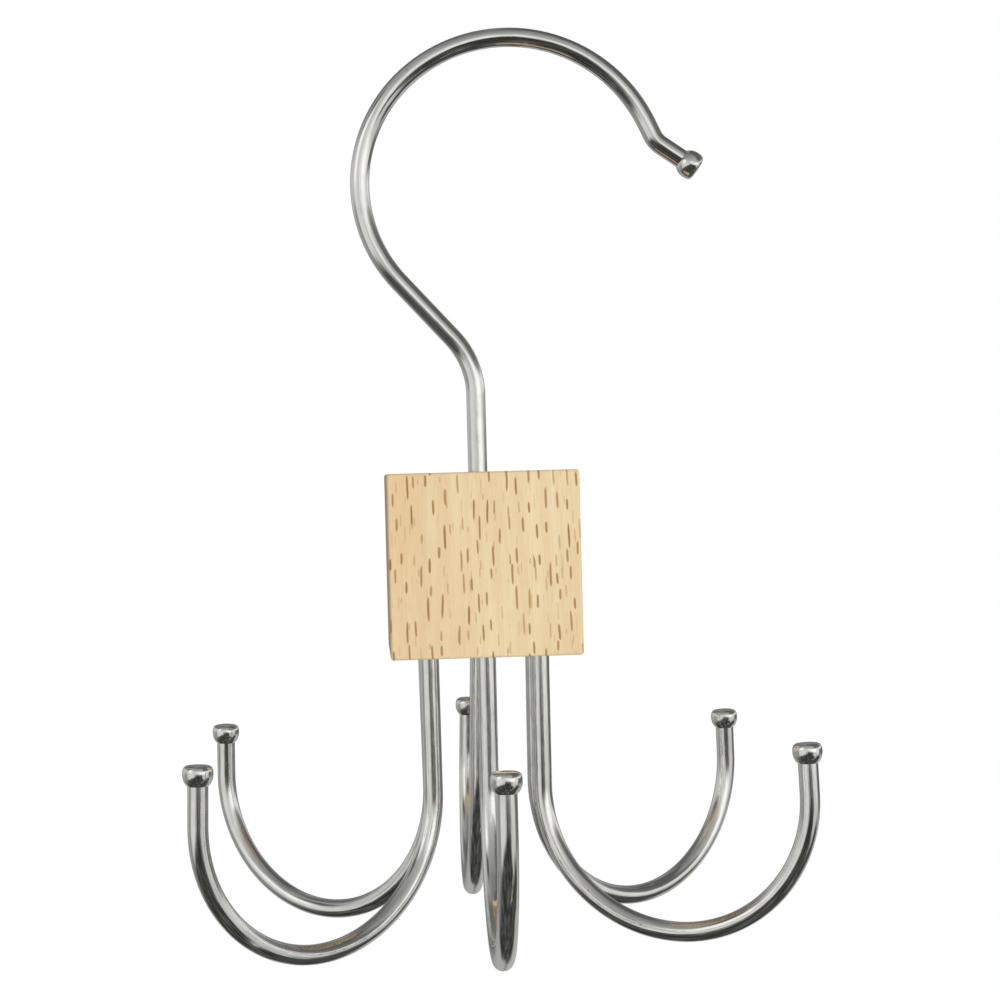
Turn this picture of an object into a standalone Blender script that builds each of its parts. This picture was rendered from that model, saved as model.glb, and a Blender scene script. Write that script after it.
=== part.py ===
"""A multi-hook hanger: a beech block with six wire arms, turning on a wire hook. Metres, +Z up.

The origin is inside the top hook's crown, where the rail bears. +X points to the hook's open side,
and -Y to the front of the block.
"""

import math

import bmesh
import bpy
from mathutils import Matrix, Vector

# Wood block
BLOCK_SIDE = 0.0400
BLOCK_HEIGHT = 0.0385
BLOCK_EDGE_RADIUS = 0.0007

# Wire, and the head formed on each end of it that shows
WIRE_DIAMETER = 0.0041
HEAD_DIAMETER = 0.0061
HEAD_HEIGHT = 0.0042
# Along the head from its neck to its flat crown, and how much of the bulge is reached there
HEAD_PROFILE_SHARES = (
    (0.12, 0.40),
    (0.28, 0.82),
    (0.50, 1.00),
    (0.72, 0.93),
    (0.90, 0.62),
    (1.00, 0.25),
)

# Arms: down out of the block, round a wide bend, and up to the head
ARM_BORE_INSET = 0.00645
ARM_INSERTION = 0.0180
ARM_DROP = 0.0286
ARM_INNER_BEND_RADIUS = 0.0298
ARM_OUTER_BEND_RADIUS = 0.0282
ARM_UPRIGHT_LENGTH = 0.0071
ARM_TIP_LEAN_DEGREES = 2.0
ARM_NAMES = (
    "arm_front",
    "arm_front_right",
    "arm_rear_right",
    "arm_rear",
    "arm_rear_left",
    "arm_front_left",
)
FIRST_ARM_BEARING_DEGREES = -90.0
# How the arms differ, in the order of their names: each is turned a little in its bore, leans
# sideways, is seated deeper or less deep, and has a longer or shorter upright
ARM_TURN_DEGREES = (0.0, 5.0, 5.3, -0.4, -6.0, 5.5)
ARM_LEAN_DEGREES = (-0.2, -0.6, 0.7, 1.9, -1.2, 0.3)
ARM_SEAT_VARIATION = 0.0015
ARM_SEAT_SHARES = (1.0, 0.1, -0.1, 0.1, -0.6, -0.3)
ARM_UPRIGHT_VARIATION = 0.0009
ARM_UPRIGHT_SHARES = (-0.2, -0.6, -0.9, 0.6, 0.2, 1.0)

# Top hook, from the block up: neck, slope, loop, and the kick at its nose
NECK_LENGTH = 0.0168
NECK_BEND_RADIUS = 0.0180
NECK_BEND_DEGREES = 42.2
SLOPE_LENGTH = 0.01645
LOOP_BACK_RADIUS = 0.0309
LOOP_BACK_DEGREES = 88.0
LOOP_FRONT_RADIUS = 0.0330
LOOP_NOSE_DEGREES = 65.0
NOSE_LENGTH = 0.0029
KICK_BEND_RADIUS = 0.0054
KICK_BEND_DEGREES = 30.5
KICK_LENGTH = 0.0052

# Swivel: the shank's threaded end holds a washer and a lock nut in a counterbore under the block
THREAD_DEPTH = 0.00028
THREAD_END = 0.0010
THREAD_RUNOUT = 0.0005
SHANK_END_RECESS = 0.0012
WASHER_RIM = 0.00243
WASHER_THICKNESS = 0.0008
NUT_HEX_HEIGHT = 0.0032
NUT_COLLAR_HEIGHT = 0.0018
NUT_COLLAR_WALL = 0.00033
INSERT_WALL = 0.0008
INSERT_HEIGHT = 0.0012
COUNTERBORE_CLEARANCE = 0.0005

# Gap between two pieces that touch, and how far a cutter runs past the face it opens
SEAT_GAP = 0.0003
CUT_OVERRUN = 0.002

BEND_STEP_DEGREES = 7.5
SHARP_EDGE_DEGREES = 40
ROUND_SIDES = 24
WIRE_BEVEL_RESOLUTION = 4

wire_radius = WIRE_DIAMETER / 2
thread_radius = wire_radius - THREAD_DEPTH
arm_ring_radius = BLOCK_SIDE / 2 - ARM_BORE_INSET
washer_radius = thread_radius + SEAT_GAP + WASHER_RIM
insert_radius = thread_radius + SEAT_GAP + INSERT_WALL
nut_recess_radius = insert_radius + SEAT_GAP
nut_flat_radius = nut_recess_radius + NUT_COLLAR_WALL
nut_corner_radius = nut_flat_radius / math.cos(math.pi / 6)
nut_height = NUT_HEX_HEIGHT + NUT_COLLAR_HEIGHT
counterbore_radius = max(washer_radius, nut_corner_radius) + COUNTERBORE_CLEARANCE

# Heights in the swivel's frame, whose zero is the top face of the block
block_bottom = -BLOCK_HEIGHT
shank_end = block_bottom + SHANK_END_RECESS
nut_bottom = shank_end + THREAD_END
washer_bottom = nut_bottom + nut_height + SEAT_GAP
counterbore_top = washer_bottom + WASHER_THICKNESS + SEAT_GAP


class WirePath:
    """The centre line of a wire bent in the XZ plane, as straight runs and round bends."""

    def __init__(self, start, heading_degrees, radius):
        self.position = Vector(start)
        self.heading = heading_degrees
        self.points = [(self.position.copy(), radius)]

    def direction(self):
        angle = math.radians(self.heading)
        return Vector((math.cos(angle), 0, math.sin(angle)))

    def straight(self, length, radius=wire_radius):
        self.position = self.position + self.direction() * length
        self.points.append((self.position.copy(), radius))

    def bend(self, radius, degrees):
        """Turns by the degrees, to the left when they are positive, on an arc of the radius."""
        steps = max(1, round(abs(degrees) / BEND_STEP_DEGREES))
        half_turn = degrees / steps / 2
        chord = 2 * radius * math.sin(math.radians(abs(half_turn)))
        for _ in range(steps):
            self.heading += half_turn
            self.straight(chord)
            self.heading += half_turn

    def head(self):
        """Forms the flat-crowned ball on the wire's end."""
        neck = self.position.copy()
        bulge = HEAD_DIAMETER / 2 - wire_radius
        for height_share, bulge_share in HEAD_PROFILE_SHARES:
            self.position = neck + self.direction() * HEAD_HEIGHT * height_share
            self.points.append((self.position.copy(), wire_radius + bulge * bulge_share))


def clear_scene():
    for obj in list(bpy.data.objects):
        bpy.data.objects.remove(obj, do_unlink=True)


def finish(name, colour, roughness, metallic):
    material = bpy.data.materials.new(name)
    material.use_nodes = True
    shader = material.node_tree.nodes["Principled BSDF"]
    shader.inputs["Base Color"].default_value = (*colour, 1)
    shader.inputs["Roughness"].default_value = roughness
    shader.inputs["Metallic"].default_value = metallic
    material.diffuse_color = (*colour, 1)
    return material


def add_object(name, data, material=None, parent=None):
    obj = bpy.data.objects.new(name, data)
    bpy.context.scene.collection.objects.link(obj)
    obj.parent = parent
    if material:
        data.materials.append(material)
    return obj


def wire_object(name, path, material, parent):
    """A round wire along a path, with its ends closed."""
    curve = bpy.data.curves.new(name, "CURVE")
    curve.dimensions = "3D"
    curve.bevel_depth = wire_radius
    curve.bevel_resolution = WIRE_BEVEL_RESOLUTION
    curve.use_fill_caps = True
    spline = curve.splines.new("POLY")
    spline.points.add(len(path.points) - 1)
    spline.use_smooth = True
    for point, (position, radius) in zip(spline.points, path.points):
        point.co = (*position, 1)
        point.radius = radius / wire_radius
    return add_object(name, curve, material, parent)


def mesh_of(name, bm):
    bmesh.ops.recalc_face_normals(bm, faces=bm.faces)
    mesh = bpy.data.meshes.new(name)
    bm.to_mesh(mesh)
    bm.free()
    mesh.shade_smooth()
    mesh.set_sharp_from_angle(angle=math.radians(SHARP_EDGE_DEGREES))
    return mesh


def prism_mesh(name, radius, low, high, sides=ROUND_SIDES):
    """A cylinder, or a prism of a few sides, about the Z axis."""
    bm = bmesh.new()
    place = Matrix.Translation((0, 0, (low + high) / 2))
    bmesh.ops.create_cone(
        bm, cap_ends=True, segments=sides, radius1=radius, radius2=radius, depth=high - low, matrix=place
    )
    return mesh_of(name, bm)


def ring_mesh(name, inner_radius, outer_radius, low, high):
    """A flat ring about the Z axis: its section, spun once round."""
    bm = bmesh.new()
    section = [(inner_radius, low), (outer_radius, low), (outer_radius, high), (inner_radius, high)]
    corners = [bm.verts.new((radius, 0, height)) for radius, height in section]
    sides = [bm.edges.new((corners[index - 1], corners[index])) for index in range(len(corners))]
    bmesh.ops.spin(
        bm,
        geom=corners + sides,
        cent=(0, 0, 0),
        axis=(0, 0, 1),
        angle=math.tau,
        steps=ROUND_SIDES,
        use_merge=True,
    )
    return mesh_of(name, bm)


def helper(name, mesh, parent):
    """An object that only shapes another one, and isn't itself a piece."""
    obj = add_object(name, mesh, parent=parent)
    obj.hide_render = True
    obj.display_type = "WIRE"
    return obj


def combine(obj, other, operation):
    boolean = obj.modifiers.new(f"{operation} {other.name}", "BOOLEAN")
    boolean.object = other
    boolean.operation = operation


def hook_path():
    """The top hook, from the shank's threaded end to the head, and the centre of its crown."""
    path = WirePath((0, 0, shank_end), 90, thread_radius)
    path.straight(counterbore_top - shank_end - THREAD_RUNOUT, thread_radius)
    path.straight(THREAD_RUNOUT)
    path.straight(NECK_LENGTH - counterbore_top)
    path.bend(NECK_BEND_RADIUS, NECK_BEND_DEGREES)
    path.straight(SLOPE_LENGTH)
    path.bend(LOOP_BACK_RADIUS, -LOOP_BACK_DEGREES)
    path.bend(LOOP_FRONT_RADIUS, -path.heading)
    crown = path.position.copy()
    path.bend(LOOP_FRONT_RADIUS, -LOOP_NOSE_DEGREES)
    path.straight(NOSE_LENGTH)
    path.bend(KICK_BEND_RADIUS, KICK_BEND_DEGREES)
    path.straight(KICK_LENGTH)
    path.head()
    return path, crown


def arm_path(upright_length):
    """An arm in its own frame: its bore's mouth is the origin, and it reaches out along +X."""
    path = WirePath((0, 0, ARM_INSERTION), -90, wire_radius)
    path.straight(ARM_INSERTION + ARM_DROP)
    path.bend(ARM_INNER_BEND_RADIUS, 90)
    path.bend(ARM_OUTER_BEND_RADIUS, 90 + ARM_TIP_LEAN_DEGREES)
    path.straight(upright_length)
    path.head()
    return path


def build_arms(material, parent):
    """Makes the arms and the cutters of their bores, set round the block alike."""
    cutters = []
    bearing_step = 360 / len(ARM_NAMES)
    for index, name in enumerate(ARM_NAMES):
        bearing = math.radians(FIRST_ARM_BEARING_DEGREES + bearing_step * index)
        turn = math.radians(ARM_TURN_DEGREES[index])
        lean = math.radians(ARM_LEAN_DEGREES[index])
        seat = ARM_SEAT_VARIATION * ARM_SEAT_SHARES[index]
        upright = ARM_UPRIGHT_LENGTH + ARM_UPRIGHT_VARIATION * ARM_UPRIGHT_SHARES[index]
        mouth = Vector((arm_ring_radius * math.cos(bearing), arm_ring_radius * math.sin(bearing), block_bottom))

        arm = wire_object(name, arm_path(upright), material, parent)
        arm.location = mouth + Vector((0, 0, seat))
        arm.rotation_euler = (lean, 0, bearing + turn)

        bore_top = ARM_INSERTION + SEAT_GAP
        bore = prism_mesh(f"{name} bore", wire_radius + SEAT_GAP, -CUT_OVERRUN, bore_top)
        cutter = helper(f"{name}_bore_cutter", bore, parent)
        cutter.location = arm.location
        cutter.rotation_euler = arm.rotation_euler
        cutters.append(cutter)
    return cutters


def build_block(material, parent, arm_cutters):
    bm = bmesh.new()
    size = Matrix.Diagonal((BLOCK_SIDE, BLOCK_SIDE, BLOCK_HEIGHT, 1))
    middle = Matrix.Translation((0, 0, block_bottom / 2))
    bmesh.ops.create_cube(bm, size=1, matrix=middle @ size)
    block = add_object("wood_block", mesh_of("wood_block", bm), material, parent)

    rounding = block.modifiers.new("Rounded edges", "BEVEL")
    rounding.width = BLOCK_EDGE_RADIUS
    rounding.segments = 2
    rounding.limit_method = "ANGLE"

    shank_bore = prism_mesh("shank bore", wire_radius + SEAT_GAP, counterbore_top - CUT_OVERRUN, CUT_OVERRUN)
    counterbore = prism_mesh("counterbore", counterbore_radius, block_bottom - CUT_OVERRUN, counterbore_top)
    combine(block, helper("shank_bore_cutter", shank_bore, parent), "DIFFERENCE")
    combine(block, helper("counterbore_cutter", counterbore, parent), "DIFFERENCE")
    for cutter in arm_cutters:
        combine(block, cutter, "DIFFERENCE")


def build_lock_nut(material, parent):
    """A hexagon nut, plain side up, with a round collar below that grips the insert."""
    hex_bottom = nut_bottom + NUT_COLLAR_HEIGHT
    nut_top = nut_bottom + nut_height
    hexagon = prism_mesh("lock_nut", nut_corner_radius, hex_bottom, nut_top, sides=6)
    nut = add_object("lock_nut", hexagon, material, parent)

    collar = prism_mesh("nut collar", nut_flat_radius, nut_bottom, (hex_bottom + nut_top) / 2)
    bore = prism_mesh("nut bore", thread_radius + SEAT_GAP, nut_bottom - CUT_OVERRUN, nut_top + CUT_OVERRUN)
    recess_top = nut_bottom + INSERT_HEIGHT + SEAT_GAP
    recess = prism_mesh("nut recess", nut_recess_radius, nut_bottom - CUT_OVERRUN, recess_top)
    combine(nut, helper("nut_collar_former", collar, parent), "UNION")
    combine(nut, helper("nut_bore_cutter", bore, parent), "DIFFERENCE")
    combine(nut, helper("nut_recess_cutter", recess, parent), "DIFFERENCE")


def build_swivel(steel, nylon, parent):
    bore = thread_radius + SEAT_GAP
    washer = ring_mesh("swivel_washer", bore, washer_radius, washer_bottom, washer_bottom + WASHER_THICKNESS)
    add_object("swivel_washer", washer, steel, parent)
    build_lock_nut(steel, parent)
    insert = ring_mesh("nut_insert", bore, insert_radius, nut_bottom, nut_bottom + INSERT_HEIGHT)
    add_object("nut_insert", insert, nylon, parent)


def build_hanger():
    clear_scene()
    beech = finish("beech", (0.72, 0.50, 0.27), 0.55, 0)
    chrome = finish("chrome", (0.80, 0.80, 0.79), 0.08, 1)
    steel = finish("zinc plated steel", (0.62, 0.62, 0.60), 0.3, 1)
    nylon = finish("nylon", (0.10, 0.22, 0.55), 0.5, 0)

    path, crown = hook_path()
    swivel_place = (-crown.x, 0, wire_radius - crown.z)

    hanging_side = add_object("hanging_side", None)
    hanging_side.location = swivel_place
    wire_object("top_hook", path, chrome, hanging_side)
    build_swivel(steel, nylon, hanging_side)

    turning_side = add_object("turning_side", None, parent=hanging_side)
    arm_cutters = build_arms(chrome, turning_side)
    build_block(beech, turning_side, arm_cutters)


build_hanger()
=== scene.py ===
"""The looks of a multi-hook hanger: its drawn and headed wires, beech block, swivel hardware, finishes,
and the studio round them. Metres, +Z up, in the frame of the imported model.

The origin is inside the top hook's crown. +X points to the hook's open side, -Y to the block's front.
"""

import math

import bmesh
import bpy
from mathutils import Euler, Matrix, Vector


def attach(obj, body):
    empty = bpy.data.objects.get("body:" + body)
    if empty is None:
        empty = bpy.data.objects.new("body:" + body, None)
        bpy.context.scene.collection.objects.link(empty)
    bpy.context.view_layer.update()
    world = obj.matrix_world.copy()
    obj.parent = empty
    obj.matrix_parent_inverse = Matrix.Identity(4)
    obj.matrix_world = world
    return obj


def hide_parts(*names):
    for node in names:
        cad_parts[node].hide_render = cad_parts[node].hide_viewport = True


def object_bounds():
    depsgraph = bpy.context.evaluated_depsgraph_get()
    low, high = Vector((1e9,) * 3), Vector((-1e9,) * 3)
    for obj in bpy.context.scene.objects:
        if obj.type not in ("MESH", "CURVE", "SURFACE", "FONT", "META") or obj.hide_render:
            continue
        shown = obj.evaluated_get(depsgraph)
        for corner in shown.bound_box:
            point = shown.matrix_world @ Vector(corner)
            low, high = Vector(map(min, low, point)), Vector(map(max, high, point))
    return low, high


# Wood block
BLOCK_SIDE = 0.0400
BLOCK_HEIGHT = 0.0385
BLOCK_EDGE_RADIUS = 0.0006
BLOCK_EDGE_STEPS = 4
PRESSED_BORE_GAP = 0.00004
SHANK_BORE_GAP = 0.00025
BORE_MOUTH_EASE = 0.00025

# Wire, and the head formed on each end of it that shows
WIRE_DIAMETER = 0.0041
HEAD_DIAMETER = 0.0061
HEAD_HEIGHT = 0.0042
# Shares of its height and of its radius, from the wire's edge to the low dome on top
HEAD_CURVE_SHARES = (
    (0.00, WIRE_DIAMETER / HEAD_DIAMETER),
    (0.06, 0.76),
    (0.20, 0.89),
    (0.38, 0.975),
    (0.56, 1.00),
    (0.74, 0.985),
    (0.87, 0.92),
    (0.95, 0.80),
    (0.985, 0.62),
    (1.00, 0.30),
)
HEAD_STEPS_PER_SHARE = 4
WIRE_SIDES = 48
BEND_STEP_DEGREES = 3.0

# Arms: down out of the block, round a wide bend, and up to the head
ARM_BORE_INSET = 0.00645
ARM_INSERTION = 0.0180
ARM_DROP = 0.0286
ARM_INNER_BEND_RADIUS = 0.0298
ARM_OUTER_BEND_RADIUS = 0.0282
ARM_UPRIGHT_LENGTH = 0.0071
ARM_TIP_LEAN_DEGREES = 2.0
ARM_NAMES = (
    "arm_front",
    "arm_front_right",
    "arm_rear_right",
    "arm_rear",
    "arm_rear_left",
    "arm_front_left",
)
FIRST_ARM_BEARING_DEGREES = -90.0
# How each arm differs from the pattern, in the order of the names
ARM_TURN_DEGREES = (0.0, 5.0, 5.3, -0.4, -6.0, 5.5)
ARM_LEAN_DEGREES = (-0.2, -0.6, 0.7, 1.9, -1.2, 0.3)
ARM_SEAT_VARIATION = 0.0015
ARM_SEAT_SHARES = (1.0, 0.1, -0.1, 0.1, -0.6, -0.3)
ARM_UPRIGHT_VARIATION = 0.0009
ARM_UPRIGHT_SHARES = (-0.2, -0.6, -0.9, 0.6, 0.2, 1.0)

# Top hook, from the block up: neck, slope, loop, and the kick at its nose
NECK_LENGTH = 0.0168
NECK_BEND_RADIUS = 0.0180
NECK_BEND_DEGREES = 42.2
SLOPE_LENGTH = 0.01645
LOOP_BACK_RADIUS = 0.0309
LOOP_BACK_DEGREES = 88.0
LOOP_FRONT_RADIUS = 0.0330
LOOP_NOSE_DEGREES = 65.0
NOSE_LENGTH = 0.0029
KICK_BEND_RADIUS = 0.0054
KICK_BEND_DEGREES = 30.5
KICK_LENGTH = 0.0052

# Swivel: the shank's threaded end holds a washer and a lock nut in a counterbore under the block
THREAD_ROOT_RADIUS = 0.00168
THREAD_CREST_RADIUS = 0.00198
THREAD_PITCH = 0.0007
THREAD_STEPS_PER_TURN = 24
THREAD_END = 0.0010
THREAD_END_CHAMFER = 0.0003
THREAD_RUNOUT = 0.0005
SHANK_END_RECESS = 0.0012
HARDWARE_BORE_RADIUS = 0.00207
WASHER_RADIUS = 0.0045
WASHER_THICKNESS = 0.0008
WASHER_EDGE_EASE = 0.00012
NUT_FLAT_RADIUS = 0.0035
NUT_HEX_HEIGHT = 0.0032
NUT_COLLAR_HEIGHT = 0.0018
NUT_CORNER_CHAMFER = 0.0004
NUT_RECESS_RADIUS = 0.00317
INSERT_RADIUS = 0.00287
INSERT_HEIGHT = 0.0012
COUNTERBORE_RADIUS = 0.0050
SEAT_GAP = 0.0003
CUT_OVERRUN = 0.002
TURNED_SIDES = 64
SHARP_EDGE_DEGREES = 32

# Floor, which fades out between two shares of its radius
FLOOR_DROP = 0.21
FLOOR_RADIUS = 0.75
FLOOR_SIDES = 96
FLOOR_FADE_SHARES = (0.55, 0.98)

# Camera, where the photograph was taken from
CAMERA_PLACE = (-0.03364, -0.47378, -0.09196)
CAMERA_YAW_DEGREES = -3.5776
CAMERA_PITCH_DEGREES = -0.6648
CAMERA_ROLL_DEGREES = 1.5201
CAMERA_SENSOR_MM = 36.0
CAMERA_FOCAL_MM = 79.27
CAMERA_CLIP_START = 0.01

# Soft boxes, each a square lamp that faces the block: name, azimuth, elevation, side in metres, watts.
# Angles are in degrees, with azimuths from the block's front and positive to the right
SOFT_BOX_DISTANCE = 1.2
SOFT_BOXES = (
    ("key light", 46, 12, 0.9, 9.7),
    ("fill light", -20, -6, 0.5, 3.9),
    ("back light", 165, 35, 0.9, 7.0),
)

# Plain level of the room's light on everything that isn't glossy
ROOM_LIGHT = 0.40

# Wire that each arm takes from the coil
COIL_LENGTH_PER_ARM = 0.25

# Nicks in the chrome: their spacing in millimetres, twice across the wire and once along it, and how
# far a nick's floor and its rim are from its middle, as shares of the spacing. The depth is next to the
# drawn lines' height
NICK_SPACING = (4.0, 4.0, 8.0)
NICK_REACH_SHARES = (0.02, 0.07)
NICK_DEPTH = 0.5

# Beech, in millimetres from the block's centre: the pith behind the block, and the rays' spacing and
# half size across, inwards and along the grain. The slant is how far sideways the rays step, per
# millimetre of height, from one to the next above it
PITH_X, PITH_Y = 14.0, 74.0
RAY_SLANT = 0.16
LARGE_RAY_SPACING = (2.6, 4.6, 5.2)
LARGE_RAY_HALF_SIZE = (0.26, 2.8, 2.1)
SMALL_RAY_SPACING = (4.0, 4.6, 5.0)
SMALL_RAY_HALF_SIZE = (0.2, 2.3, 1.2)
SMALL_RAY_SHIFT = (31.7, 11.3, 7.9)
# From the least to the most: how long a ray is next to its half size, and how strongly it shows. Its
# edge is soft between two values of its reach
RAY_LENGTH_SHARES = (0.55, 1.3)
RAY_STRENGTHS = (0.2, 1.0)
RAY_EDGE = (0.3, 1.3)

# Attribute that keeps each point's place on its wire before the bending
UNBENT_PLACE = "unbent_place"
MILLIMETRES = 1000.0

# Corners closer than this become one
WELD_DISTANCE = 1e-7

wire_radius = WIRE_DIAMETER / 2
arm_ring_radius = BLOCK_SIDE / 2 - ARM_BORE_INSET

# Heights in the swivel's frame, whose zero is the top face of the block
block_bottom = -BLOCK_HEIGHT
shank_end = block_bottom + SHANK_END_RECESS
nut_bottom = shank_end + THREAD_END
nut_top = nut_bottom + NUT_HEX_HEIGHT + NUT_COLLAR_HEIGHT
washer_bottom = nut_top + SEAT_GAP
washer_top = washer_bottom + WASHER_THICKNESS
counterbore_top = washer_top + SEAT_GAP


# Wire bending


def heading_vector(degrees):
    angle = math.radians(degrees)
    return Vector((math.cos(angle), 0, math.sin(angle)))


def smooth_steps(points, steps):
    """Points on a smooth curve through the given ones, ends included."""
    padded = [points[0], *points, points[-1]]
    smooth = [points[0]]
    for before, start, end, after in zip(padded, padded[1:], padded[2:], padded[3:]):
        handle_out = [a + (c - b) / 6 for a, b, c in zip(start, before, end)]
        handle_in = [a - (c - b) / 6 for a, b, c in zip(end, start, after)]
        for step in range(1, steps + 1):
            t = step / steps
            s = 1 - t
            blend = (s**3, 3 * s * s * t, 3 * s * t * t, t**3)
            controls = zip(start, handle_out, handle_in, end)
            smooth.append(tuple(sum(w * v for w, v in zip(blend, control)) for control in controls))
    return smooth


class BentWire:
    """A round wire in the XZ plane: its section is drawn along straight runs and bends, and headed."""

    def __init__(self, start, heading_degrees, radius, along=0.0):
        self.bm = bmesh.new()
        self.unbent = self.bm.verts.layers.float_vector.new(UNBENT_PLACE)
        self.position = Vector(start)
        self.heading = heading_degrees
        self.radius = radius
        self.along = along
        circle = bmesh.ops.create_circle(self.bm, cap_ends=True, segments=WIRE_SIDES, radius=radius)
        section = circle["verts"]
        for corner in section:
            corner[self.unbent] = corner.co + Vector((0, 0, along))
        turn = Matrix.Rotation(math.radians(90 - heading_degrees), 4, "Y")
        bmesh.ops.transform(self.bm, matrix=Matrix.Translation(start) @ turn, verts=section)
        self.rim = list(self.bm.edges)

    def next_ring(self, length):
        """Extrudes the open end's rim, and returns the new ring's corners, still in place."""
        made = bmesh.ops.extrude_edge_only(self.bm, edges=self.rim)["geom"]
        corners = [item for item in made if isinstance(item, bmesh.types.BMVert)]
        fresh = set(corners)
        self.rim = [
            item
            for item in made
            if isinstance(item, bmesh.types.BMEdge) and fresh.issuperset(item.verts)
        ]
        self.along += length
        for corner in corners:
            place = corner[self.unbent]
            corner[self.unbent] = (place.x, place.y, self.along)
        return corners

    def straight(self, length):
        move = heading_vector(self.heading) * length
        bmesh.ops.translate(self.bm, vec=move, verts=self.next_ring(length))
        self.position += move

    def bend(self, radius, degrees):
        """Turns by the degrees, to the left when they are positive, on an arc of the radius."""
        side = math.copysign(1, degrees)
        centre = self.position + heading_vector(self.heading + 90 * side) * radius
        steps = max(1, round(abs(degrees) / BEND_STEP_DEGREES))
        step = math.radians(degrees / steps)
        turn = Matrix.Rotation(-step, 3, "Y")
        for _ in range(steps):
            ring = self.next_ring(radius * abs(step))
            bmesh.ops.rotate(self.bm, cent=centre, matrix=turn, verts=ring)
            self.position = centre + turn @ (self.position - centre)
        self.heading += degrees

    def swell(self, radius, length):
        """Goes on straight by the length, while the radius changes to a new one."""
        move = heading_vector(self.heading) * length
        ring = self.next_ring(length)
        self.position += move
        grow = Matrix.Scale(radius / self.radius, 4)
        about = Matrix.Translation(self.position)
        bmesh.ops.translate(self.bm, vec=move, verts=ring)
        bmesh.ops.transform(self.bm, matrix=about @ grow @ about.inverted(), verts=ring)
        self.radius = radius

    def head(self):
        """Upsets the wire's end into a ball with a low crown, and closes it."""
        reached = 0.0
        for height_share, radius_share in smooth_steps(HEAD_CURVE_SHARES, HEAD_STEPS_PER_SHARE)[1:]:
            height = HEAD_HEIGHT * height_share
            self.swell(HEAD_DIAMETER / 2 * radius_share, height - reached)
            reached = height
        self.close()

    def close(self):
        bmesh.ops.contextual_create(self.bm, geom=self.rim)


def bend_top_hook():
    """The top hook's wire, from its threaded end to its head, and where its crown comes."""
    wire = BentWire((0, 0, shank_end), 90, THREAD_ROOT_RADIUS - THREAD_END_CHAMFER)
    wire.swell(THREAD_ROOT_RADIUS, THREAD_END_CHAMFER)
    wire.straight(counterbore_top - THREAD_RUNOUT - shank_end - THREAD_END_CHAMFER)
    wire.swell(wire_radius, THREAD_RUNOUT)
    wire.straight(NECK_LENGTH - counterbore_top)
    wire.bend(NECK_BEND_RADIUS, NECK_BEND_DEGREES)
    wire.straight(SLOPE_LENGTH)
    wire.bend(LOOP_BACK_RADIUS, -LOOP_BACK_DEGREES)
    wire.bend(LOOP_FRONT_RADIUS, -wire.heading)
    crown = wire.position.copy()
    wire.bend(LOOP_FRONT_RADIUS, -LOOP_NOSE_DEGREES)
    wire.straight(NOSE_LENGTH)
    wire.bend(KICK_BEND_RADIUS, KICK_BEND_DEGREES)
    wire.straight(KICK_LENGTH)
    wire.head()
    return wire.bm, crown


def bend_arm(upright_length, coil_place):
    """An arm in its own frame: its bore's mouth is the origin, and it reaches out along +X."""
    wire = BentWire((0, 0, ARM_INSERTION), -90, wire_radius, coil_place)
    wire.straight(ARM_INSERTION + ARM_DROP)
    wire.bend(ARM_INNER_BEND_RADIUS, 90)
    wire.bend(ARM_OUTER_BEND_RADIUS, 90 + ARM_TIP_LEAN_DEGREES)
    wire.straight(upright_length)
    wire.head()
    return wire.bm


# Pieces of mesh


def mesh_piece(name, bm, place, material):
    """Makes a finished object of a mesh, moved to its place, with its faces pointing outwards."""
    bmesh.ops.remove_doubles(bm, verts=bm.verts, dist=WELD_DISTANCE)
    bmesh.ops.transform(bm, matrix=place, verts=bm.verts)
    bmesh.ops.recalc_face_normals(bm, faces=bm.faces)
    mesh = bpy.data.meshes.new(name)
    bm.to_mesh(mesh)
    bm.free()
    mesh.shade_smooth()
    mesh.set_sharp_from_angle(angle=math.radians(SHARP_EDGE_DEGREES))
    mesh.materials.append(material)
    piece = bpy.data.objects.new(name, mesh)
    bpy.context.scene.collection.objects.link(piece)
    return piece


def turned(section):
    """A solid of revolution about Z.

    Its section is a list of radii and heights, and is closed by itself or by the axis.
    """
    bm = bmesh.new()
    corners = [bm.verts.new((radius, 0, height)) for radius, height in section]
    pairs = zip(corners, corners[1:] + corners[:1])
    sides = [bm.edges.new(pair) for pair in pairs if pair[0].co.x + pair[1].co.x > 0]
    bmesh.ops.spin(
        bm,
        geom=corners + sides,
        cent=(0, 0, 0),
        axis=(0, 0, 1),
        angle=math.tau,
        steps=TURNED_SIDES,
        use_merge=True,
    )
    return bm


def eased_ring(inner_radius, outer_radius, low, high, ease):
    """The section of a flat ring whose four corners are eased."""
    return [
        (inner_radius + ease, low),
        (outer_radius - ease, low),
        (outer_radius, low + ease),
        (outer_radius, high - ease),
        (outer_radius - ease, high),
        (inner_radius + ease, high),
        (inner_radius, high - ease),
        (inner_radius, low + ease),
    ]


def cut_away(piece, cutter, operation="DIFFERENCE"):
    """Shapes a piece with a closed mesh, keeps the result in the piece and removes the cutter."""
    bmesh.ops.recalc_face_normals(cutter, faces=cutter.faces)
    mesh = bpy.data.meshes.new("cutter")
    cutter.to_mesh(mesh)
    cutter.free()
    tool = bpy.data.objects.new("cutter", mesh)
    bpy.context.scene.collection.objects.link(tool)
    boolean = piece.modifiers.new("cut", "BOOLEAN")
    # EXACT leaves open edges in these meshes
    boolean.solver = "MANIFOLD"
    boolean.object = tool
    boolean.operation = operation
    bpy.context.view_layer.update()
    shaped = bpy.data.meshes.new_from_object(piece.evaluated_get(bpy.context.evaluated_depsgraph_get()))
    piece.modifiers.clear()
    before = piece.data
    piece.data = shaped
    shaped.name = piece.name
    bpy.data.meshes.remove(before)
    bpy.data.objects.remove(tool)


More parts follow.
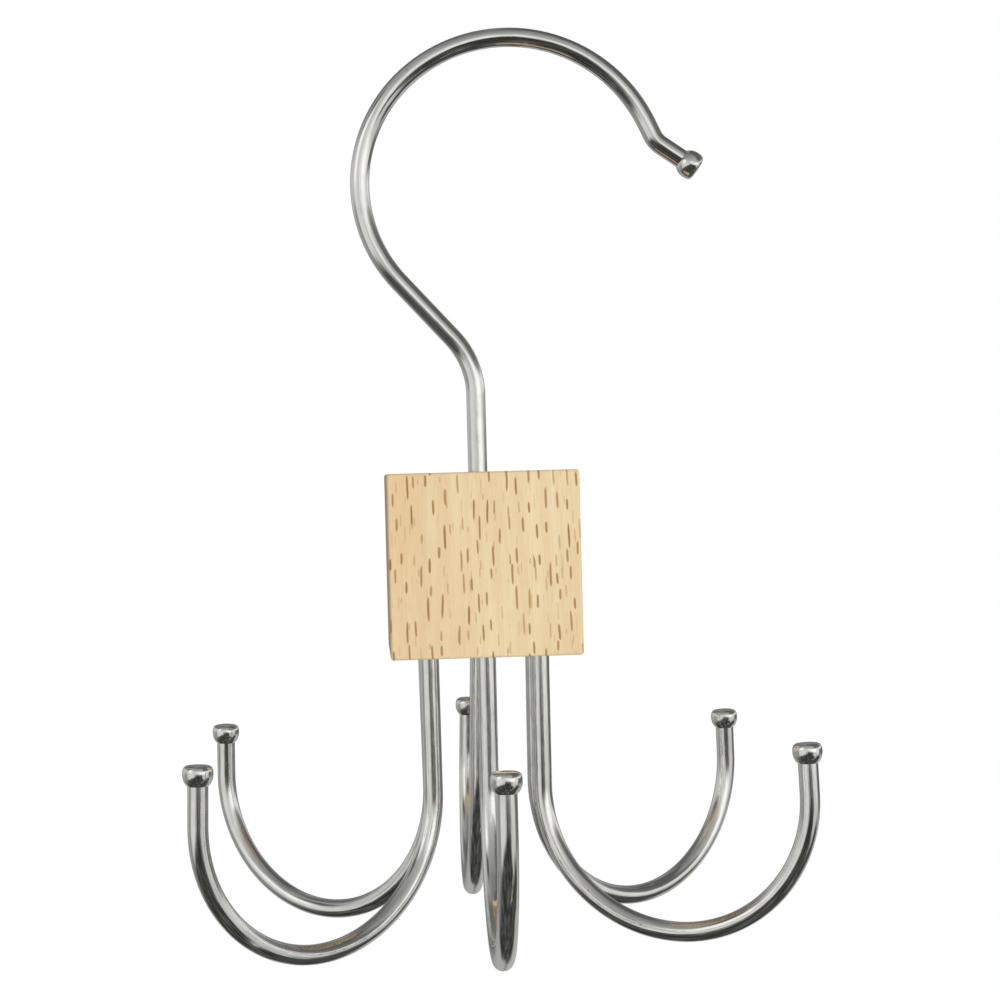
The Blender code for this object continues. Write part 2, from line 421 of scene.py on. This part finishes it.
def round_cutter(radius, low, high, place=Matrix(), ease=0.0, mouth=None):
    """A cylinder about Z, with an eased flare at the height of the mouth that it opens."""
    if mouth is None:
        section = [(0, low), (radius, low), (radius, high), (0, high)]
    elif mouth < (low + high) / 2:
        section = [
            (0, low),
            (radius + ease, low),
            (radius + ease, mouth),
            (radius, mouth + ease),
            (radius, high),
            (0, high),
        ]
    else:
        section = [
            (0, low),
            (radius, low),
            (radius, mouth - ease),
            (radius + ease, mouth),
            (radius + ease, high),
            (0, high),
        ]
    cutter = turned(section)
    bmesh.ops.remove_doubles(cutter, verts=cutter.verts, dist=WELD_DISTANCE)
    bmesh.ops.transform(cutter, matrix=place, verts=cutter.verts)
    return cutter


def even_normals(piece):
    """Keeps the shading of the large flat faces flat, up to the rounded edges beside them."""
    weighted = piece.modifiers.new("Even normals", "WEIGHTED_NORMAL")
    weighted.keep_sharp = True


# Parts of the hanger


def arm_places():
    """Each arm's name, the place of its own frame in the swivel's frame, and its upright's length."""
    bearing_step = 360 / len(ARM_NAMES)
    for index, name in enumerate(ARM_NAMES):
        bearing = math.radians(FIRST_ARM_BEARING_DEGREES + bearing_step * index)
        turn = math.radians(ARM_TURN_DEGREES[index])
        lean = math.radians(ARM_LEAN_DEGREES[index])
        seat = ARM_SEAT_VARIATION * ARM_SEAT_SHARES[index]
        mouth = Vector(
            (arm_ring_radius * math.cos(bearing), arm_ring_radius * math.sin(bearing), block_bottom)
        )
        stance = Euler((lean, 0, bearing + turn)).to_matrix().to_4x4()
        upright = ARM_UPRIGHT_LENGTH + ARM_UPRIGHT_VARIATION * ARM_UPRIGHT_SHARES[index]
        yield name, Matrix.Translation(mouth + Vector((0, 0, seat))) @ stance, upright


def build_arms(swivel, chrome):
    """The arms, each from its own length of the coil, so that no two have the same marks."""
    for index, (name, place, upright) in enumerate(arm_places()):
        bent = bend_arm(upright, COIL_LENGTH_PER_ARM * (index + 1))
        arm = mesh_piece(f"{name}_wire", bent, swivel @ place, chrome)
        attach(arm, "hook_block")
        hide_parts(name)


def add_thread(bm):
    """Winds the thread's ridge, a small triangle spun upwards, round the shank's end."""
    half_pitch = THREAD_PITCH / 2
    start = shank_end + THREAD_END_CHAMFER
    root = THREAD_ROOT_RADIUS - THREAD_END_CHAMFER
    section = [(root, start), (THREAD_CREST_RADIUS, start + half_pitch), (root, start + THREAD_PITCH)]
    corners = [bm.verts.new((radius, 0, height)) for radius, height in section]
    ridge = bm.faces.new(corners)
    turns = (counterbore_top - THREAD_RUNOUT - start - THREAD_PITCH) / THREAD_PITCH
    steps = round(turns * THREAD_STEPS_PER_TURN)
    bmesh.ops.spin(
        bm,
        geom=[*corners, *ridge.edges, ridge],
        cent=(0, 0, 0),
        axis=(0, 0, 1),
        dvec=(0, 0, turns * THREAD_PITCH / steps),
        angle=math.tau * turns,
        steps=steps,
    )


def build_top_hook(bm, swivel, chrome):
    add_thread(bm)
    hook = mesh_piece("top_hook_wire", bm, swivel, chrome)
    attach(hook, "hanging_hook")
    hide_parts("top_hook")


def build_block(swivel, beech):
    """The block, with its edges rounded and its bores' mouths eased."""
    bm = bmesh.new()
    size = Matrix.Diagonal((BLOCK_SIDE, BLOCK_SIDE, BLOCK_HEIGHT, 1))
    bmesh.ops.create_cube(bm, size=1, matrix=Matrix.Translation((0, 0, block_bottom / 2)) @ size)
    bmesh.ops.bevel(
        bm,
        geom=bm.edges,
        offset=BLOCK_EDGE_RADIUS,
        affect="EDGES",
        segments=BLOCK_EDGE_STEPS,
        profile=0.5,
        material=-1,
    )
    block = mesh_piece("beech_block", bm, swivel, beech)

    shank_bore = round_cutter(
        wire_radius + SHANK_BORE_GAP,
        counterbore_top - CUT_OVERRUN,
        CUT_OVERRUN,
        swivel,
        BORE_MOUTH_EASE,
        0,
    )
    cut_away(block, shank_bore)
    counterbore_low = block_bottom - CUT_OVERRUN
    counterbore = round_cutter(
        COUNTERBORE_RADIUS, counterbore_low, counterbore_top, swivel, BORE_MOUTH_EASE, block_bottom
    )
    cut_away(block, counterbore)
    for _, place, _ in arm_places():
        seat = place.translation.z - block_bottom
        bore = round_cutter(
            wire_radius + PRESSED_BORE_GAP,
            -CUT_OVERRUN - seat,
            ARM_INSERTION + SEAT_GAP,
            swivel @ place,
            BORE_MOUTH_EASE,
            -seat,
        )
        cut_away(block, bore)
    even_normals(block)
    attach(block, "hook_block")
    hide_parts("wood_block")


def build_washer(swivel, zinc):
    section = eased_ring(
        HARDWARE_BORE_RADIUS, WASHER_RADIUS, washer_bottom, washer_top, WASHER_EDGE_EASE
    )
    washer = mesh_piece("plain_washer", turned(section), swivel, zinc)
    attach(washer, "hanging_hook")
    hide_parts("swivel_washer")


def hexagon_prism(low, high):
    bm = bmesh.new()
    corner_radius = NUT_FLAT_RADIUS / math.cos(math.pi / 6)
    bmesh.ops.create_cone(
        bm,
        cap_ends=True,
        segments=6,
        radius1=corner_radius,
        radius2=corner_radius,
        depth=high - low,
        matrix=Matrix.Translation((0, 0, (low + high) / 2)),
    )
    return bm


def build_lock_nut(swivel, zinc):
    """A hexagon with its corners chamfered, on a round collar whose lip is rolled over the insert."""
    hex_bottom = nut_bottom + NUT_COLLAR_HEIGHT
    nut = mesh_piece("nylon_lock_nut", hexagon_prism(nut_bottom, nut_top), swivel, zinc)
    corner_radius = NUT_FLAT_RADIUS / math.cos(math.pi / 6)
    drop = NUT_CORNER_CHAMFER
    lip = NUT_COLLAR_HEIGHT / 4
    outer_shape = turned(
        [
            (0, nut_bottom),
            (NUT_FLAT_RADIUS - lip, nut_bottom),
            (NUT_FLAT_RADIUS - lip / 3, nut_bottom + lip / 4),
            (NUT_FLAT_RADIUS, nut_bottom + lip),
            (NUT_FLAT_RADIUS, hex_bottom),
            (corner_radius, hex_bottom + drop),
            (corner_radius, nut_top - drop),
            (NUT_FLAT_RADIUS - drop / 4, nut_top),
            (0, nut_top),
        ]
    )
    bmesh.ops.remove_doubles(outer_shape, verts=outer_shape.verts, dist=WELD_DISTANCE)
    bmesh.ops.transform(outer_shape, matrix=swivel, verts=outer_shape.verts)
    cut_away(nut, outer_shape, "INTERSECT")
    bore_low, bore_high = nut_bottom - CUT_OVERRUN, nut_top + CUT_OVERRUN
    bore = round_cutter(HARDWARE_BORE_RADIUS, bore_low, bore_high, swivel, NUT_CORNER_CHAMFER, nut_top)
    cut_away(nut, bore)
    recess_top = nut_bottom + INSERT_HEIGHT + SEAT_GAP
    cut_away(nut, round_cutter(NUT_RECESS_RADIUS - lip / 2, bore_low, recess_top, swivel))
    nut.data.shade_smooth()
    nut.data.set_sharp_from_angle(angle=math.radians(SHARP_EDGE_DEGREES))
    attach(nut, "hanging_hook")
    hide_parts("lock_nut")


def build_nut_insert(swivel, nylon):
    ease = INSERT_HEIGHT / 6
    insert_top = nut_bottom + INSERT_HEIGHT
    section = eased_ring(HARDWARE_BORE_RADIUS, INSERT_RADIUS, nut_bottom, insert_top, ease)
    insert = mesh_piece("nylon_ring", turned(section), swivel, nylon)
    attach(insert, "hanging_hook")
    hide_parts("nut_insert")


# Shader maths


class Signal:
    """A node's output. Sums and products on it add Math nodes."""

    def __init__(self, tree, socket):
        self.tree = tree
        self.socket = socket

    def math(self, operation, *others):
        sockets = dict(enumerate((self, *others)))
        return self.tree.node("ShaderNodeMath", {"operation": operation}, sockets)["Value"]

    def __add__(self, other):
        return self.math("ADD", other)

    def __mul__(self, other):
        return self.math("MULTIPLY", other)

    def __sub__(self, other):
        return self.math("SUBTRACT", other)

    def __rsub__(self, other):
        return (self * -1) + other

    def __truediv__(self, other):
        return self.math("DIVIDE", other)

    def __neg__(self):
        return self * -1

    def __abs__(self):
        return self.math("ABSOLUTE")

    def __pow__(self, power):
        return self.math("POWER", power)

    def larger(self, other):
        return self.math("MAXIMUM", other)

    def ramp(self, low, high, to_low=0.0, to_high=1.0):
        """Goes smoothly from one level to another between two values."""
        settings = {"interpolation_type": "SMOOTHSTEP"}
        levels = {"Value": self, "From Min": low, "From Max": high, "To Min": to_low, "To Max": to_high}
        return self.tree.node("ShaderNodeMapRange", settings, levels)["Result"]

    def within(self, low, high, softness):
        """1 between the two values and 0 outside them, with soft limits."""
        past_low = self.ramp(low - softness, low + softness)
        return past_low * self.ramp(high - softness, high + softness, 1.0, 0.0)


class NodeOutputs:
    """A node whose outputs are read by name."""

    def __init__(self, tree, made):
        self.tree = tree
        self.made = made

    def __getitem__(self, name):
        socket = next(socket for socket in self.made.outputs if socket.enabled and socket.name == name)
        return Signal(self.tree, socket)


class NodeTree:
    """The nodes of one finish, or of the studio."""

    def __init__(self, tree):
        self.tree = tree
        tree.nodes.clear()

    def node(self, kind, settings=None, sockets=None):
        """Adds a node: its type, its settings, then the values or links of its sockets."""
        made = self.tree.nodes.new(kind)
        for name, value in (settings or {}).items():
            if name == "stops":
                self.set_stops(made.color_ramp, value)
            else:
                setattr(made, name, value)
        for name, value in (sockets or {}).items():
            if isinstance(name, int):
                socket = made.inputs[name]
            else:
                socket = next(item for item in made.inputs if item.enabled and item.name == name)
            if isinstance(value, Signal):
                self.tree.links.new(value.socket, socket)
            else:
                socket.default_value = value
        return NodeOutputs(self, made)

    def set_stops(self, ramp, stops):
        while len(ramp.elements) < len(stops):
            ramp.elements.new(1.0)
        for element, (position, level) in zip(ramp.elements, stops):
            element.position = position
            element.color = (level, level, level, 1)

    def mix(self, share, first, second):
        """A colour between two colours."""
        sockets = {"Factor": share, "A": first, "B": second}
        return self.node("ShaderNodeMix", {"data_type": "RGBA"}, sockets)["Result"]

    def vector(self, x, y, z):
        return self.node("ShaderNodeCombineXYZ", None, {"X": x, "Y": y, "Z": z})["Vector"]

    def axes(self, vector):
        parts = self.node("ShaderNodeSeparateXYZ", None, {"Vector": vector})
        return parts["X"], parts["Y"], parts["Z"]

    def noise(self, place, scale, detail=2.0, roughness=0.5):
        sockets = {"Vector": place, "Scale": scale, "Detail": detail, "Roughness": roughness}
        return self.node("ShaderNodeTexNoise", None, sockets)["Fac"]

    def stretched_noise(self, place, scales, detail, roughness=0.5):
        """Noise with a scale of its own along each axis."""
        stretched = self.vector(*(part * scale for part, scale in zip(place, scales)))
        return self.noise(stretched, 1.0, detail, roughness)

    def cells(self, place, spacing, randomness=1.0):
        """Scatters points, one to each cell of the spacing.

        Returns the place, counted in cells, and the node that knows the nearest point to it.
        """
        cell = self.vector(*(part / step for part, step in zip(place, spacing)))
        sockets = {"Vector": cell, "Scale": 1.0, "Randomness": randomness}
        return cell, self.node("ShaderNodeTexVoronoi", None, sockets)

    def difference(self, first, second):
        settings = {"operation": "SUBTRACT"}
        return self.node("ShaderNodeVectorMath", settings, {0: first, 1: second})["Vector"]

    def bump(self, height, strength, distance):
        sockets = {"Strength": strength, "Distance": distance, "Height": height}
        return self.node("ShaderNodeBump", None, sockets)["Normal"]

    def principled(self, sockets):
        return self.node("ShaderNodeBsdfPrincipled", None, sockets)["BSDF"]

    def surface(self, shader):
        self.node("ShaderNodeOutputMaterial", None, {"Surface": shader})


def colour(red, green, blue):
    """A colour as it is read off a screen, in parts of 255, made linear."""
    parts = (part / 255 for part in (red, green, blue))
    linear = (part / 12.92 if part < 0.04045 else ((part + 0.055) / 1.055) ** 2.4 for part in parts)
    return (*linear, 1.0)


def new_finish(name):
    material = bpy.data.materials.new(name)
    material.use_nodes = True
    return material, NodeTree(material.node_tree)


# Finishes


def chromed_wire_finish():
    """Bright chrome over drawn wire: faint lines along it, a slightly wavy surface and a few nicks."""
    material, tree = new_finish("chromed wire")
    attribute = tree.node("ShaderNodeAttribute", {"attribute_name": UNBENT_PLACE})["Vector"]
    place = tuple(part * MILLIMETRES for part in tree.axes(attribute))
    drawn_lines = tree.stretched_noise(place, (2.0, 2.0, 0.05), 3.0, 0.62)
    waves = tree.stretched_noise(place, (0.5, 0.5, 0.14), 2.0, 0.55)
    haze = tree.stretched_noise(place, (0.6, 0.6, 0.24), 3.0, 0.6)
    _, nearest_nick = tree.cells(place, NICK_SPACING)
    nicks = nearest_nick["Distance"].ramp(*NICK_REACH_SHARES, 1.0, 0.0)
    relief = drawn_lines + waves - nicks * NICK_DEPTH
    plating = tree.mix(haze.ramp(0.35, 0.75), colour(233, 232, 228), colour(222, 222, 217))
    shader = tree.principled(
        {
            "Base Color": tree.mix(nicks * 0.5, plating, colour(120, 118, 112)),
            "Metallic": 1.0,
            "Roughness": haze.ramp(0.3, 0.8, 0.07, 0.13),
            "Normal": tree.bump(relief, strength=0.4, distance=0.00010),
        }
    )
    tree.surface(shader)
    return material


def zinc_steel_finish():
    """Zinc plated steel: a satin blue-grey with fine blotches."""
    material, tree = new_finish("zinc plated steel")
    place = tree.node("ShaderNodeTexCoord")["Object"]
    blotches = tree.noise(place, 900.0, 4.0, 0.6)
    pits = tree.noise(place, 5000.0, 2.0)
    plating = tree.mix(blotches.ramp(0.35, 0.65), colour(196, 199, 200), colour(170, 172, 170))
    shader = tree.principled(
        {
            "Base Color": plating,
            "Metallic": 1.0,
            "Roughness": blotches.ramp(0.3, 0.7, 0.26, 0.42),
            "Normal": tree.bump(pits, strength=0.3, distance=0.00002),
        }
    )
    tree.surface(shader)
    return material


def nylon_finish():
    """The lock nut's blue nylon, with the thread's scuffs."""
    material, tree = new_finish("blue nylon")
    place = tree.node("ShaderNodeTexCoord")["Object"]
    cloud = tree.noise(place, 1200.0, 3.0)
    shader = tree.principled(
        {
            "Base Color": tree.mix(cloud.ramp(0.3, 0.7), colour(52, 92, 168), colour(74, 116, 190)),
            "Roughness": cloud.ramp(0.3, 0.7, 0.38, 0.52),
            "Normal": tree.bump(cloud, strength=0.2, distance=0.00003),
        }
    )
    tree.surface(shader)
    return material


def ray_flecks(tree, place, spacing, half_size):
    """Beech's rays: thin upright sheets that run from front to back, cut short as spindles.

    Returns where they are, and a random number that stays the same on each of them.
    """
    x, y, z = place
    cell, nearest_ray = tree.cells((x + z * RAY_SLANT, y, z), spacing, randomness=0.75)
    away = tree.axes(tree.difference(cell, nearest_ray["Position"]))
    away_x, away_y, away_z = (part * step for part, step in zip(away, spacing))
    chance = tree.node("ShaderNodeSeparateColor", None, {"Color": nearest_ray["Color"]})
    length_share = chance["Red"].ramp(0.0, 1.0, *RAY_LENGTH_SHARES)
    strength = chance["Green"].ramp(0.05, 0.55, *RAY_STRENGTHS)
    across = abs(away_x - away_z * RAY_SLANT) / half_size[0]
    inwards = abs(away_y) / half_size[1]
    along = abs(away_z) / half_size[2] / length_share
    reach = across**2.0 + inwards**4.0 + along**4.0
    return reach.ramp(*RAY_EDGE, 1.0, 0.0) * strength, chance["Blue"]


def beech_finish(centre):
    """Steamed beech, flat sawn at the front: brown rays, soft bands, fine fibre, dark end grain."""
    material, tree = new_finish("beech")
    coordinates = tree.node("ShaderNodeTexCoord")
    from_centre = tree.axes(tree.difference(coordinates["Object"], centre))
    place = tuple(part * MILLIMETRES for part in from_centre)
    x, y, z = place

    # The grain drifts slowly and wanders a little on its way up
    drift = tree.stretched_noise(place, (0.05, 0.05, 0.018), 1.0)
    wander = tree.stretched_noise(place, (0.35, 0.1, 0.16), 1.0)
    grain = (x + drift * 3.0 + wander * 0.4, y, z)

    to_pith = ((x - PITH_X) ** 2.0 + (y - PITH_Y) ** 2.0).math("SQRT") + drift * 5.0
    rings = tree.stretched_noise((to_pith, 0.0, z), (0.42, 0.0, 0.004), 2.0, 0.6)
    bands = tree.stretched_noise(grain, (0.30, 0.04, 0.014), 3.0, 0.6)
    fibre = tree.stretched_noise(grain, (2.4, 2.4, 0.16), 3.0, 0.65)
    pores = tree.stretched_noise(grain, (6.0, 6.0, 0.55), 2.0, 0.7)
    mottle = tree.stretched_noise(place, (0.9, 0.9, 0.5), 3.0, 0.6)
    silver_grain = tree.stretched_noise(place, (2.0, 0.7, 1.3), 2.0, 0.6)

    large_rays, large_chance = ray_flecks(tree, grain, LARGE_RAY_SPACING, LARGE_RAY_HALF_SIZE)
    shifted_grain = [part + shift for part, shift in zip(grain, SMALL_RAY_SHIFT)]
    small_rays, _ = ray_flecks(tree, shifted_grain, SMALL_RAY_SPACING, SMALL_RAY_HALF_SIZE)

    normal_x, _, normal_z = tree.axes(coordinates["Normal"])
    end_grain = abs(normal_z).ramp(0.8, 1.0)
    side_face = abs(normal_x).ramp(0.7, 1.0)
    # The sides show the rays flat, as silver grain, so their edges hardly show there
    seen_on_edge = 1.0 - side_face * 0.92

    # Layers of colour over the bands: where each one is, how much it covers, and its colour
    layers = (
        (x.ramp(4.0, -19.0), 0.55, (221, 187, 143)),
        (rings.ramp(0.38, 0.70), 0.45, (213, 183, 140)),
        (fibre.ramp(0.40, 0.80), 0.35, (207, 176, 132)),
        (fibre.ramp(0.45, 0.20), 0.35, (239, 223, 189)),
        (mottle.ramp(0.45, 0.75), 0.25, (227, 196, 160)),
        (pores.ramp(0.60, 0.78), 0.45, (190, 152, 108)),
        # The side faces are darker and browner: partly their own cut of the grain, partly painted shade
        (side_face, 0.55, (188, 148, 106)),
        (end_grain, 0.8, (192, 168, 134)),
        (silver_grain.ramp(0.56, 0.68) * side_face, 0.35, (176, 138, 98)),
        (small_rays * seen_on_edge, 0.6, (180, 142, 98)),
    )
    wood = tree.mix(bands.ramp(0.34, 0.62), colour(231, 214, 175), colour(224, 201, 158))
    for mask, share, shade in layers:
        wood = tree.mix(mask * share, wood, colour(*shade))
    ray_colour = tree.mix(large_chance, colour(150, 108, 64), colour(172, 130, 84))
    wood = tree.mix(large_rays * seen_on_edge * 0.92, wood, ray_colour)

    recess = large_rays * 0.6 + small_rays * 0.3 + pores.ramp(0.55, 0.8) * 0.25 + fibre * 0.3
    shader = tree.principled(
        {
            "Base Color": wood,
            "Roughness": (fibre * 0.16 + 0.50) - large_rays * 0.08,
            "Specular IOR Level": 0.35,
            "Normal": tree.bump(-recess, strength=0.5, distance=0.00006),
        }
    )
    tree.surface(shader)
    return material


# Studio


def floor_finish():
    """A pale matt floor that fades out towards its rim and isn't there from below."""
    material, tree = new_finish("pale floor")
    place = tree.node("ShaderNodeTexCoord")["Object"]
    x, y, _ = tree.axes(place)
    radius = (x**2.0 + y**2.0).math("SQRT")
    speckle = tree.noise(place, 60.0, 3.0)
    paint = tree.mix(speckle.ramp(0.3, 0.7), colour(240, 240, 238), colour(236, 236, 233))
    matt = tree.principled({"Base Color": paint, "Roughness": 0.8, "Specular IOR Level": 0.1})
    clear = tree.node("ShaderNodeBsdfTransparent")
    below = tree.node("ShaderNodeNewGeometry")["Backfacing"]
    fade_start, fade_end = (FLOOR_RADIUS * share for share in FLOOR_FADE_SHARES)
    fade = radius.ramp(fade_start, fade_end).larger(below)
    mixed = tree.node("ShaderNodeMixShader", None, {"Fac": fade, 1: matt, 2: clear["BSDF"]})
    tree.surface(mixed["Shader"])
    return material


def build_floor(height):
    bm = bmesh.new()
    bmesh.ops.create_circle(
        bm,
        cap_ends=True,
        segments=FLOOR_SIDES,
        radius=FLOOR_RADIUS,
        matrix=Matrix.Translation((0, 0, height)),
    )
    mesh = bpy.data.meshes.new("floor")
    bm.to_mesh(mesh)
    bm.free()
    mesh.materials.append(floor_finish())
    floor = bpy.data.objects.new("floor", mesh)
    floor.visible_glossy = False
    bpy.context.scene.collection.objects.link(floor)


# What the chrome mirrors in the studio. Directions are in degrees: azimuths from the camera's side,
# positive to the right, and elevations. Each level is how bright that part looks.
ROOM_LEVELS = (
    (-90, 0.05),
    (-50, 0.09),
    (-25, 0.28),
    (-8, 0.46),
    (3, 0.62),
    (16, 0.62),
    (28, 0.50),
    (45, 0.40),
    (65, 0.28),
    (90, 0.20),
)
# Parts of the room, later ones in front: azimuths, elevations, how soft the limits are, level
SURROUNDINGS = (
    # dark corners of the room
    ((46, 135), (17, 50), 8, 0.18),
    ((60, 175), (32, 95), 12, 0.12),
    ((-175, -112), (26, 80), 14, 0.15),
    ((-92, -64), (26, 48), 5, 0.12),
    ((-110, -80), (-24, 0), 6, 0.32),
    ((94, 148), (-14, 3), 5, 0.14),
    ((146, 200), (-12, 34), 10, 0.22),
    ((-200, -146), (-12, 34), 10, 0.22),
    # pale table behind
    ((106, 175), (-46, -14), 8, 0.50),
    ((-190, -135), (-56, -20), 8, 0.45),
    # left soft box, and the pale wall beside it
    ((-72, -40), (0, 34), 6, 1.10),
    ((-76, -22), (-32, 8), 5, 0.78),
    # daylight over the table in front
    ((-34, -6), (0, 20), 5, 0.70),
    ((-6, 18), (-2, 22), 5, 0.92),
    # window at the right, and its light on the wall under it
    ((16, 64), (-6, 14), 4, 1.2),
    ((60, 125), (4, 14), 4, 0.88),
    ((38, 84), (-34, -5), 6, 0.64),
    ((60, 86), (-8, 4), 5, 0.85),
    # dark cupboard beside the camera, up to the sill
    ((10, 34), (-34, -3), 5, 0.09),
)
# Dark, cluttered foreground: its skyline falls away to both sides of its highest point, and the
# camera's stand rises from it
FOREGROUND_AZIMUTH = -12
FOREGROUND_ELEVATION = -9
FOREGROUND_FALL = 0.28
FOREGROUND_SOFTNESS = 6
FOREGROUND_LEVELS = (0.03, 0.14)
FOREGROUND_WARMTH = 0.94
CLUTTER_SCALE = 4.5
CLUTTER_RANGE = (0.4, 0.68)
CAMERA_STAND_AZIMUTHS = (-8, 26)
CAMERA_STAND_SOFTNESS = 7
CAMERA_STAND_HEIGHT = 11.5
# Dark wall low at the right, and the slanting streak of light beside it, whose azimuths are those at
# its middle height
DARK_WALL = ((70, 108), (-80, -19), 5, 0.07)
LIGHT_STREAK = ((53, 59), (-56, -12), 3, 0.55)
LIGHT_STREAK_SLANT = 0.66


def surroundings(tree, direction):
    """The brightness of the studio that the chrome mirrors, by direction."""
    x, y, z = tree.axes(direction)
    azimuth = x.math("ARCTAN2", -y) * math.degrees(1)
    elevation = z.math("ARCSINE") * math.degrees(1)
    stops = [(height / 180 + 0.5, level) for height, level in ROOM_LEVELS]
    level = tree.node("ShaderNodeValToRGB", {"stops": stops}, {"Fac": elevation / 180 + 0.5})["Color"]

    def lay(beneath, place, slant=0.0):
        (left, right), (low, high), softness, brightness = place
        across = azimuth - (elevation - (low + high) / 2) * slant
        mask = across.within(left, right, softness) * elevation.within(low, high, softness)
        return tree.mix(mask, beneath, (brightness, brightness, brightness, 1))

    for place in SURROUNDINGS:
        level = lay(level, place)
    stand = azimuth.within(*CAMERA_STAND_AZIMUTHS, CAMERA_STAND_SOFTNESS) * CAMERA_STAND_HEIGHT
    skyline = stand + FOREGROUND_ELEVATION - abs(azimuth - FOREGROUND_AZIMUTH) * FOREGROUND_FALL
    foreground = (skyline - elevation).ramp(-FOREGROUND_SOFTNESS, FOREGROUND_SOFTNESS)
    clutter = tree.noise(direction, CLUTTER_SCALE, 4.0, 0.6).ramp(*CLUTTER_RANGE)
    dark, pale = ((shade, shade, shade * FOREGROUND_WARMTH, 1) for shade in FOREGROUND_LEVELS)
    level = tree.mix(foreground, level, tree.mix(clutter, dark, pale))
    level = lay(level, DARK_WALL)
    return lay(level, LIGHT_STREAK, LIGHT_STREAK_SLANT)


def build_world():
    """White for the camera, the surroundings for gloss, and a plain soft grey for the rest."""
    world = bpy.data.worlds.new("studio")
    world.use_nodes = True
    bpy.context.scene.world = world
    tree = NodeTree(world.node_tree)
    direction = tree.node("ShaderNodeTexCoord")["Generated"]
    path = tree.node("ShaderNodeLightPath")
    seen = path["Is Camera Ray"].larger(path["Is Transmission Ray"])
    room_light = (ROOM_LIGHT, ROOM_LIGHT, ROOM_LIGHT, 1)
    colour_by_ray = tree.mix(path["Is Glossy Ray"], room_light, surroundings(tree, direction))
    colour_by_ray = tree.mix(seen, colour_by_ray, (1, 1, 1, 1))
    background = tree.node("ShaderNodeBackground", None, {"Color": colour_by_ray, "Strength": 1.0})
    tree.node("ShaderNodeOutputWorld", None, {"Surface": background["Background"]})


def build_soft_box(name, azimuth_degrees, elevation_degrees, side, watts, target):
    """A square soft light that faces the target."""
    azimuth, elevation = math.radians(azimuth_degrees), math.radians(elevation_degrees)
    sideways = math.cos(elevation)
    away = Vector((math.sin(azimuth) * sideways, -math.cos(azimuth) * sideways, math.sin(elevation)))
    lamp = bpy.data.lights.new(name, "AREA")
    lamp.size = side
    lamp.energy = watts
    light = bpy.data.objects.new(name, lamp)
    light.location = target + away * SOFT_BOX_DISTANCE
    light.rotation_mode = "QUATERNION"
    light.rotation_quaternion = away.to_track_quat("Z", "Y")
    light.visible_glossy = False
    bpy.context.scene.collection.objects.link(light)


def build_camera():
    data = bpy.data.cameras.new("camera")
    data.sensor_width = CAMERA_SENSOR_MM
    data.lens = CAMERA_FOCAL_MM
    data.clip_start = CAMERA_CLIP_START
    camera = bpy.data.objects.new("camera", data)
    level = Matrix.Rotation(math.radians(90), 4, "X")
    roll = Matrix.Rotation(math.radians(CAMERA_ROLL_DEGREES), 4, "Y")
    pitch = Matrix.Rotation(math.radians(CAMERA_PITCH_DEGREES), 4, "X")
    yaw = Matrix.Rotation(math.radians(CAMERA_YAW_DEGREES), 4, "Z")
    camera.matrix_world = Matrix.Translation(CAMERA_PLACE) @ yaw @ pitch @ roll @ level
    bpy.context.scene.collection.objects.link(camera)
    bpy.context.scene.camera = camera


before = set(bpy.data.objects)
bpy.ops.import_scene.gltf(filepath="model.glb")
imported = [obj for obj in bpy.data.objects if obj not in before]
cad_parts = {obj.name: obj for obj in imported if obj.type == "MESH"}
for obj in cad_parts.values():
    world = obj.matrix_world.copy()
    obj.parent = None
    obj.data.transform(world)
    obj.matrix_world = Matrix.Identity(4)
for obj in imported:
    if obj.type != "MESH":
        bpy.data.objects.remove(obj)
cad_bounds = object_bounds()
build_camera()

hook_mesh, crown = bend_top_hook()
swivel_place = Matrix.Translation((-crown.x, 0, wire_radius - crown.z))
block_centre = swivel_place @ Vector((0, 0, block_bottom / 2))

chrome = chromed_wire_finish()
zinc = zinc_steel_finish()
build_top_hook(hook_mesh, swivel_place, chrome)
build_arms(swivel_place, chrome)
build_block(swivel_place, beech_finish(block_centre))
build_washer(swivel_place, zinc)
build_lock_nut(swivel_place, zinc)
build_nut_insert(swivel_place, nylon_finish())

build_floor(cad_bounds[0].z - FLOOR_DROP)
build_world()
for soft_box in SOFT_BOXES:
    build_soft_box(*soft_box, block_centre)
bpy.context.scene.view_settings.view_transform = "Standard"
